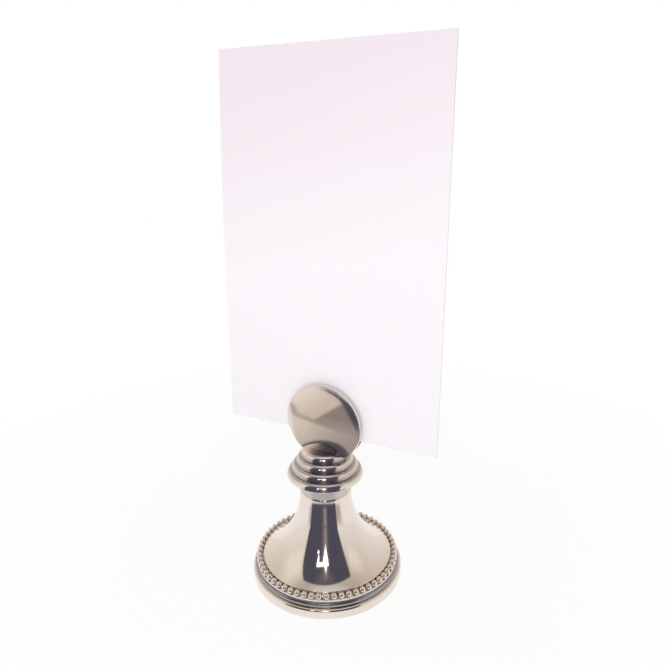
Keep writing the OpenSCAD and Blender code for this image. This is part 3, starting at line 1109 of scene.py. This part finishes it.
def make_world():
    """White to the camera, plain light on the object, and a pale room in the reflections."""
    world = bpy.data.worlds.new("studio")
    bpy.context.scene.world = world
    nodes, links = cleared(world)
    output = nodes.new("ShaderNodeOutputWorld")
    path = nodes.new("ShaderNodeLightPath")

    def background(strength):
        node = nodes.new("ShaderNodeBackground")
        node.inputs["Color"].default_value = (*WHITE, 1)
        node.inputs["Strength"].default_value = strength
        return node

    seen, light, room = background(1.0), background(WORLD_STRENGTH), background(1.0)
    where = nodes.new("ShaderNodeTexCoord")
    split = nodes.new("ShaderNodeSeparateXYZ")
    steps = nodes.new("ShaderNodeValToRGB")
    links.new(where.outputs["Generated"], split.inputs[0])
    links.new(split.outputs["Z"], steps.inputs["Fac"])
    fill_ramp(steps.color_ramp.elements, ROOM_TONES)
    links.new(steps.outputs[0], room.inputs["Color"])
    mirrored = mirrored_ray(nodes, links, path)
    unseen = mixed_shaders(nodes, links, mirrored, light.outputs[0], room.outputs[0])
    shown = mixed_shaders(nodes, links, path.outputs["Is Camera Ray"], unseen, seen.outputs[0])
    links.new(shown, output.inputs[0])


# The floor, which keeps the object's shadow near it and is plain white further out
FLOOR_HALF = 3.0
FLOOR_PAINT = (0.92, 0.92, 0.92)
NEAR_GLOW_SHARE = 0.9
SHADOW_REACH = 50 * MM
PLAIN_FROM = 150 * MM


def make_floor():
    """A wide white floor that keeps the object's shadow, faintly, and turns plain white further out."""
    maker = bmesh.new()
    corners = [(-1, -1), (1, -1), (1, 1), (-1, 1)]
    maker.faces.new([maker.verts.new((x * FLOOR_HALF, y * FLOOR_HALF, 0)) for x, y in corners])
    floor = new_object("floor", maker)
    material = bpy.data.materials.new("white_floor")
    nodes, links = cleared(material)
    output = nodes.new("ShaderNodeOutputMaterial")
    paint = nodes.new("ShaderNodeBsdfDiffuse")
    paint.inputs["Color"].default_value = (*FLOOR_PAINT, 1)
    emit = nodes.new("ShaderNodeEmission")
    path = nodes.new("ShaderNodeLightPath")
    mirrored = mirrored_ray(nodes, links, path)
    looked_at = calculated(nodes, links, path.outputs["Is Camera Ray"], mirrored, "MAXIMUM")
    away = reach(nodes, links)
    glow = ranged(nodes, links, away, NEAR_GLOW_SHARE, 1.0, SHADOW_REACH, PLAIN_FROM)
    further = ranged(nodes, links, away, 0.0, 1.0, SHADOW_REACH, PLAIN_FROM)
    dimmer = calculated(nodes, links, mirrored, further, "MULTIPLY")
    links.new(mixed(nodes, links, dimmer, WHITE, HORIZON_TONE), emit.inputs["Color"])
    glow_seen = calculated(nodes, links, looked_at, glow, "MULTIPLY")
    mix = mixed_shaders(nodes, links, glow_seen, paint.outputs[0], emit.outputs[0])
    links.new(mix, output.inputs[0])
    floor.data.materials.append(material)


# Lamps: name, place, side, and power in watts
LAMPS = [
    ("key", (0.35, -0.62, 0.62), 0.5, 3.8),
    ("fill", (-0.6, -0.7, 0.5), 0.6, 1.5),
]
LAMP_AIM = Vector((0, 0, 50 * MM))


def make_lamp(name, place, size, power):
    """A square lamp that points at the middle of the object. Reflections don't show it."""
    data = bpy.data.lights.new(name, "AREA")
    data.shape = "SQUARE"
    data.size = size
    data.energy = power
    lamp = put_in_scene(name, data)
    lamp.location = place
    aim = LAMP_AIM - Vector(place)
    lamp.rotation_euler = aim.to_track_quat("-Z", "Y").to_euler()
    lamp.visible_glossy = False


def make_camera():
    """The camera, which stands and looks as the photograph's did."""
    data = bpy.data.cameras.new("camera")
    data.lens = CAMERA_LENS
    data.sensor_width = CAMERA_SENSOR
    data.clip_start = CAMERA_CLIP
    camera = put_in_scene("camera", data)
    turn = Matrix.Rotation(math.radians(CAMERA_TURN_DEG), 4, "Z")
    tilt = Matrix.Rotation(math.radians(90 - CAMERA_PITCH_DEG), 4, "X")
    roll = Matrix.Rotation(math.radians(CAMERA_ROLL_DEG), 4, "Z")
    camera.matrix_world = Matrix.Translation(CAMERA_PLACE) @ turn @ tilt @ roll
    bpy.context.scene.camera = camera


make_camera()
silver = dress_holder()
dress_inner_pieces(silver)
finish_piece(make_card(), card_material(), "card", "card", "place_card")
make_floor()
make_world()
for lamp in LAMPS:
    make_lamp(*lamp)
dark_side()
lighter_middle()
bright_sides()
windows()
table_for_discs()
bpy.context.scene.view_settings.view_transform = "Standard"
